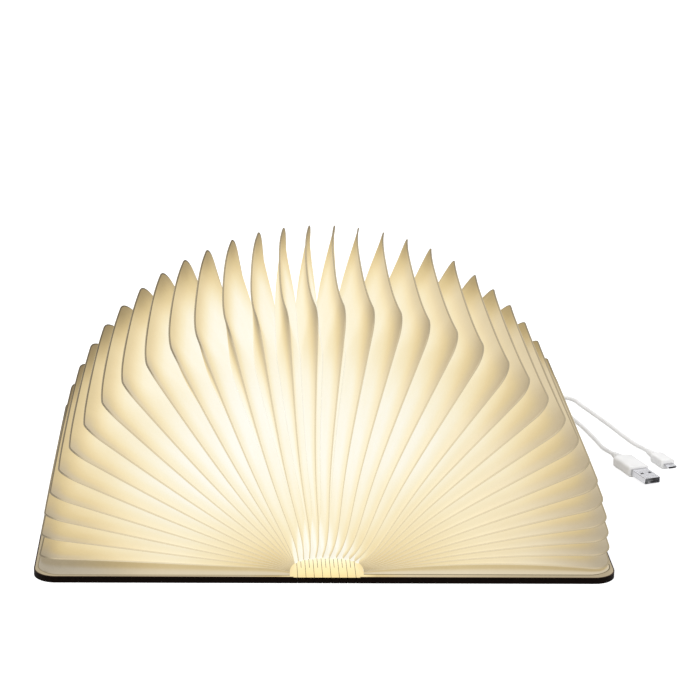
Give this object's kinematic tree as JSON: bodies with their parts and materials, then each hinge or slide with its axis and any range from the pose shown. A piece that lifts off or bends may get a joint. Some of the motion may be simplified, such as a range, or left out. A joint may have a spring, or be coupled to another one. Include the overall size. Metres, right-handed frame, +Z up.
{
  "type": "folding book lamp",
  "caption": "Book-shaped lamp whose wooden cover opens flat on a living hinge and spreads a fan of glowing paper pleats over a battery light bar, with a short charging lead",
  "frame": {"origin": "on the floor under the middle of the open cover", "axes": "+Z up, X across the open covers, Y along the spine away from the end that faces the viewer"},
  "size_m": [0.4329, 0.3504, 0.1739],
  "materials": {
    "wood": "dark brown stained board, darker on its laser-cut edges",
    "pleat_paper": "off-white spunbonded paper, lit from inside",
    "lining": "cream lining paper, matt",
    "magnet": "nickel-plated disc magnet",
    "tape": "foam mounting tape",
    "tray": "satin extruded aluminium",
    "end_cap": "fine matt white moulding",
    "diffuser": "opal diffuser, lit",
    "circuit_board": "white solder mask",
    "led": "yellow phosphor in a white package",
    "cell_foil": "laminated foil pouch",
    "chip": "black moulding compound",
    "plated_shell": "nickel-plated folded sheet",
    "lead_jacket": "soft white moulding, satin",
    "contact_tongue": "white plastic with plated contacts"
  },
  "bodies": {
    "spine": {"spine_hinge": "wood", "inner_folds": "pleat_paper", "bar_tape": "tape", "light_bar_tray": "tray", "light_bar_diffuser": "diffuser", "front_end_cap": "end_cap", "rear_end_cap": "end_cap", "led_board": "circuit_board", "leds": "led", "battery_cell": "cell_foil", "magnetic_switch": "chip", "charge_controller": "chip", "micro_usb_socket": "plated_shell", "charging_lead": "lead_jacket", "micro_plug_body": "lead_jacket", "micro_plug_tip": "plated_shell", "usb_plug_body": "lead_jacket", "usb_plug_shell": "plated_shell", "usb_plug_tongue": "contact_tongue"},
    "cover_left_leaf": {"cover_left": "wood", "lining_left": "lining", "magnets_left": "magnet"},
    "cover_right_leaf": {"cover_right": "wood", "lining_right": "lining", "magnets_right": "magnet"},
    "pleat_01": {"pleat_01": "pleat_paper"},
    "pleat_02": {"pleat_02": "pleat_paper"},
    "pleat_03": {"pleat_03": "pleat_paper"},
    "pleat_04": {"pleat_04": "pleat_paper"},
    "pleat_05": {"pleat_05": "pleat_paper"},
    "pleat_06": {"pleat_06": "pleat_paper"},
    "pleat_07": {"pleat_07": "pleat_paper"},
    "pleat_08": {"pleat_08": "pleat_paper"},
    "pleat_09": {"pleat_09": "pleat_paper"},
    "pleat_10": {"pleat_10": "pleat_paper"},
    "pleat_11": {"pleat_11": "pleat_paper"},
    "pleat_12": {"pleat_12": "pleat_paper"},
    "pleat_13": {"pleat_13": "pleat_paper"},
    "pleat_14": {"pleat_14": "pleat_paper"},
    "pleat_15": {"pleat_15": "pleat_paper"},
    "pleat_16": {"pleat_16": "pleat_paper"},
    "pleat_17": {"pleat_17": "pleat_paper"},
    "pleat_18": {"pleat_18": "pleat_paper"},
    "pleat_19": {"pleat_19": "pleat_paper"},
    "pleat_20": {"pleat_20": "pleat_paper"},
    "pleat_21": {"pleat_21": "pleat_paper"},
    "pleat_22": {"pleat_22": "pleat_paper"},
    "pleat_23": {"pleat_23": "pleat_paper"},
    "pleat_24": {"pleat_24": "pleat_paper"},
    "pleat_25": {"pleat_25": "pleat_paper"},
    "pleat_26": {"pleat_26": "pleat_paper"},
    "pleat_27": {"pleat_27": "pleat_paper"},
    "pleat_28": {"pleat_28": "pleat_paper"},
    "pleat_29": {"pleat_29": "pleat_paper"},
    "pleat_30": {"pleat_30": "pleat_paper"},
    "pleat_31": {"pleat_31": "pleat_paper"},
    "pleat_32": {"pleat_32": "pleat_paper"},
    "pleat_33": {"pleat_33": "pleat_paper"},
    "pleat_34": {"pleat_34": "pleat_paper"}
  },
  "joints": [
    {"name": "cover_fold", "type": "hinge", "parent": "spine", "child": "cover_right_leaf", "pos_m": [0.0129, 0, 0.002], "axis": [0, -1, 0], "range_deg": [-90, 90], "deforming": ["spine_hinge", "inner_folds"]},
    {"name": "cover_left_fold", "type": "hinge", "parent": "spine", "child": "cover_left_leaf", "pos_m": [-0.0129, 0, 0.002], "axis": [0, 1, 0], "range_deg": [-90, 90]},
    {"name": "pleat_17_fold", "type": "hinge", "parent": "spine", "child": "pleat_17", "pos_m": [0.02579, 0, 0.04083], "axis": [0, -1, 0], "range_deg": [-5.34, 5.34]},
    {"name": "pleat_16_fold", "type": "hinge", "parent": "pleat_17", "child": "pleat_16", "pos_m": [0.00275, 0, -0.02777], "axis": [0, -1, 0], "range_deg": [-4.69, 4.69]},
    {"name": "pleat_15_fold", "type": "hinge", "parent": "pleat_16", "child": "pleat_15", "pos_m": [0.00385, 0, -0.02344], "axis": [0, -1, 0], "range_deg": [-4.88, 4.88]},
    {"name": "pleat_14_fold", "type": "hinge", "parent": "pleat_15", "child": "pleat_14", "pos_m": [0.00401, 0, -0.01751], "axis": [0, -1, 0], "range_deg": [-5.17, 5.17]},
    {"name": "pleat_13_fold", "type": "hinge", "parent": "pleat_14", "child": "pleat_13", "pos_m": [0.00331, 0, -0.01102], "axis": [0, -1, 0], "range_deg": [-5.52, 5.52]},
    {"name": "pleat_12_fold", "type": "hinge", "parent": "pleat_13", "child": "pleat_12", "pos_m": [0.00205, 0, -0.00474], "axis": [0, -1, 0], "range_deg": [-5.89, 5.89]},
    {"name": "pleat_11_fold", "type": "hinge", "parent": "pleat_12", "child": "pleat_11", "pos_m": [-0.01931, 0, 0.01312], "axis": [0, -1, 0], "range_deg": [-6.21, 6.21]},
    {"name": "pleat_10_fold", "type": "hinge", "parent": "pleat_11", "child": "pleat_10", "pos_m": [-0.02029, 0, 0.01234], "axis": [0, -1, 0], "range_deg": [-6.46, 6.46]},
    {"name": "pleat_09_fold", "type": "hinge", "parent": "pleat_10", "child": "pleat_09", "pos_m": [-0.02111, 0, 0.0115], "axis": [0, -1, 0], "range_deg": [-6.6, 6.6]},
    {"name": "pleat_08_fold", "type": "hinge", "parent": "pleat_09", "child": "pleat_08", "pos_m": [-0.02181, 0, 0.01059], "axis": [0, -1, 0], "range_deg": [-6.6, 6.6]},
    {"name": "pleat_07_fold", "type": "hinge", "parent": "pleat_08", "child": "pleat_07", "pos_m": [-0.02237, 0, 0.00964], "axis": [0, -1, 0], "range_deg": [-6.49, 6.49]},
    {"name": "pleat_06_fold", "type": "hinge", "parent": "pleat_07", "child": "pleat_06", "pos_m": [-0.02281, 0, 0.00864], "axis": [0, -1, 0], "range_deg": [-6.26, 6.26]},
    {"name": "pleat_05_fold", "type": "hinge", "parent": "pleat_06", "child": "pleat_05", "pos_m": [-0.02314, 0, 0.00761], "axis": [0, -1, 0], "range_deg": [-5.97, 5.97]},
    {"name": "pleat_04_fold", "type": "hinge", "parent": "pleat_05", "child": "pleat_04", "pos_m": [-0.02335, 0, 0.00657], "axis": [0, -1, 0], "range_deg": [-5.66, 5.66]},
    {"name": "pleat_03_fold", "type": "hinge", "parent": "pleat_04", "child": "pleat_03", "pos_m": [-0.02344, 0, 0.00554], "axis": [0, -1, 0], "range_deg": [-5.37, 5.37]},
    {"name": "pleat_02_fold", "type": "hinge", "parent": "pleat_03", "child": "pleat_02", "pos_m": [-0.02341, 0, 0.00456], "axis": [0, -1, 0], "range_deg": [-5.15, 5.15]},
    {"name": "pleat_01_fold", "type": "hinge", "parent": "pleat_02", "child": "pleat_01", "pos_m": [-0.02326, 0, 0.00366], "axis": [0, -1, 0], "range_deg": [-5.03, 5.03]},
    {"name": "pleat_18_fold", "type": "hinge", "parent": "pleat_17", "child": "pleat_18", "pos_m": [0.00101, 0, -0.02949], "axis": [0, -1, 0], "range_deg": [-4.62, 4.62]},
    {"name": "pleat_19_fold", "type": "hinge", "parent": "pleat_18", "child": "pleat_19", "pos_m": [-0.00081, 0, -0.02822], "axis": [0, -1, 0], "range_deg": [-4.67, 4.67]},
    {"name": "pleat_20_fold", "type": "hinge", "parent": "pleat_19", "child": "pleat_20", "pos_m": [-0.00211, 0, -0.02434], "axis": [0, -1, 0], "range_deg": [-4.83, 4.83]},
    {"name": "pleat_21_fold", "type": "hinge", "parent": "pleat_20", "child": "pleat_21", "pos_m": [-0.00262, 0, -0.01882], "axis": [0, -1, 0], "range_deg": [-5.08, 5.08]},
    {"name": "pleat_22_fold", "type": "hinge", "parent": "pleat_21", "child": "pleat_22", "pos_m": [-0.00237, 0, -0.01265], "axis": [0, -1, 0], "range_deg": [-5.37, 5.37]},
    {"name": "pleat_23_fold", "type": "hinge", "parent": "pleat_22", "child": "pleat_23", "pos_m": [-0.00167, 0, -0.00652], "axis": [0, -1, 0], "range_deg": [-5.64, 5.64]},
    {"name": "pleat_24_fold", "type": "hinge", "parent": "pleat_23", "child": "pleat_24", "pos_m": [0.02032, 0, 0.01206], "axis": [0, -1, 0], "range_deg": [-5.86, 5.86]},
    {"name": "pleat_25_fold", "type": "hinge", "parent": "pleat_24", "child": "pleat_25", "pos_m": [0.02111, 0, 0.0112], "axis": [0, -1, 0], "range_deg": [-5.96, 5.96]},
    {"name": "pleat_26_fold", "type": "hinge", "parent": "pleat_25", "child": "pleat_26", "pos_m": [0.02178, 0, 0.01026], "axis": [0, -1, 0], "range_deg": [-5.94, 5.94]},
    {"name": "pleat_27_fold", "type": "hinge", "parent": "pleat_26", "child": "pleat_27", "pos_m": [0.02232, 0, 0.00927], "axis": [0, -1, 0], "range_deg": [-5.77, 5.77]},
    {"name": "pleat_28_fold", "type": "hinge", "parent": "pleat_27", "child": "pleat_28", "pos_m": [0.02276, 0, 0.00821], "axis": [0, -1, 0], "range_deg": [-5.47, 5.47]},
    {"name": "pleat_29_fold", "type": "hinge", "parent": "pleat_28", "child": "pleat_29", "pos_m": [0.0231, 0, 0.00709], "axis": [0, -1, 0], "range_deg": [-5.06, 5.06]},
    {"name": "pleat_30_fold", "type": "hinge", "parent": "pleat_29", "child": "pleat_30", "pos_m": [0.02335, 0, 0.0059], "axis": [0, -1, 0], "range_deg": [-4.6, 4.6]},
    {"name": "pleat_31_fold", "type": "hinge", "parent": "pleat_30", "child": "pleat_31", "pos_m": [0.0235, 0, 0.00469], "axis": [0, -1, 0], "range_deg": [-4.13, 4.13]},
    {"name": "pleat_32_fold", "type": "hinge", "parent": "pleat_31", "child": "pleat_32", "pos_m": [0.02354, 0, 0.0035], "axis": [0, -1, 0], "range_deg": [-3.72, 3.72]},
    {"name": "pleat_33_fold", "type": "hinge", "parent": "pleat_32", "child": "pleat_33", "pos_m": [0.02347, 0, 0.00242], "axis": [0, -1, 0], "range_deg": [-3.41, 3.41]},
    {"name": "pleat_34_fold", "type": "hinge", "parent": "pleat_33", "child": "pleat_34", "pos_m": [0.02329, 0, 0.00158], "axis": [0, -1, 0], "range_deg": [-3.25, 3.25]}
  ],
  "couplings": [
    {"joint": "cover_left_fold", "follows": "cover_fold", "ratio": 1},
    {"joint": "pleat_17_fold", "follows": "cover_fold", "ratio": 0.059359},
    {"joint": "pleat_16_fold", "follows": "cover_fold", "ratio": -0.052069},
    {"joint": "pleat_15_fold", "follows": "cover_fold", "ratio": -0.054228},
    {"joint": "pleat_14_fold", "follows": "cover_fold", "ratio": -0.057468},
    {"joint": "pleat_13_fold", "follows": "cover_fold", "ratio": -0.061366},
    {"joint": "pleat_12_fold", "follows": "cover_fold", "ratio": -0.065401},
    {"joint": "pleat_11_fold", "follows": "cover_fold", "ratio": -0.069031},
    {"joint": "pleat_10_fold", "follows": "cover_fold", "ratio": -0.071774},
    {"joint": "pleat_09_fold", "follows": "cover_fold", "ratio": -0.073274},
    {"joint": "pleat_08_fold", "follows": "cover_fold", "ratio": -0.073357},
    {"joint": "pleat_07_fold", "follows": "cover_fold", "ratio": -0.072054},
    {"joint": "pleat_06_fold", "follows": "cover_fold", "ratio": -0.069592},
    {"joint": "pleat_05_fold", "follows": "cover_fold", "ratio": -0.066367},
    {"joint": "pleat_04_fold", "follows": "cover_fold", "ratio": -0.062877},
    {"joint": "pleat_03_fold", "follows": "cover_fold", "ratio": -0.059658},
    {"joint": "pleat_02_fold", "follows": "cover_fold", "ratio": -0.057198},
    {"joint": "pleat_01_fold", "follows": "cover_fold", "ratio": -0.055867},
    {"joint": "pleat_18_fold", "follows": "cover_fold", "ratio": 0.051256},
    {"joint": "pleat_19_fold", "follows": "cover_fold", "ratio": 0.051849},
    {"joint": "pleat_20_fold", "follows": "cover_fold", "ratio": 0.0537},
    {"joint": "pleat_21_fold", "follows": "cover_fold", "ratio": 0.056464},
    {"joint": "pleat_22_fold", "follows": "cover_fold", "ratio": 0.059656},
    {"joint": "pleat_23_fold", "follows": "cover_fold", "ratio": 0.062709},
    {"joint": "pleat_24_fold", "follows": "cover_fold", "ratio": 0.065068},
    {"joint": "pleat_25_fold", "follows": "cover_fold", "ratio": 0.066258},
    {"joint": "pleat_26_fold", "follows": "cover_fold", "ratio": 0.065967},
    {"joint": "pleat_27_fold", "follows": "cover_fold", "ratio": 0.064084},
    {"joint": "pleat_28_fold", "follows": "cover_fold", "ratio": 0.060726},
    {"joint": "pleat_29_fold", "follows": "cover_fold", "ratio": 0.056223},
    {"joint": "pleat_30_fold", "follows": "cover_fold", "ratio": 0.051077},
    {"joint": "pleat_31_fold", "follows": "cover_fold", "ratio": 0.045895},
    {"joint": "pleat_32_fold", "follows": "cover_fold", "ratio": 0.04131},
    {"joint": "pleat_33_fold", "follows": "cover_fold", "ratio": 0.03789},
    {"joint": "pleat_34_fold", "follows": "cover_fold", "ratio": 0.036065}
  ]
}
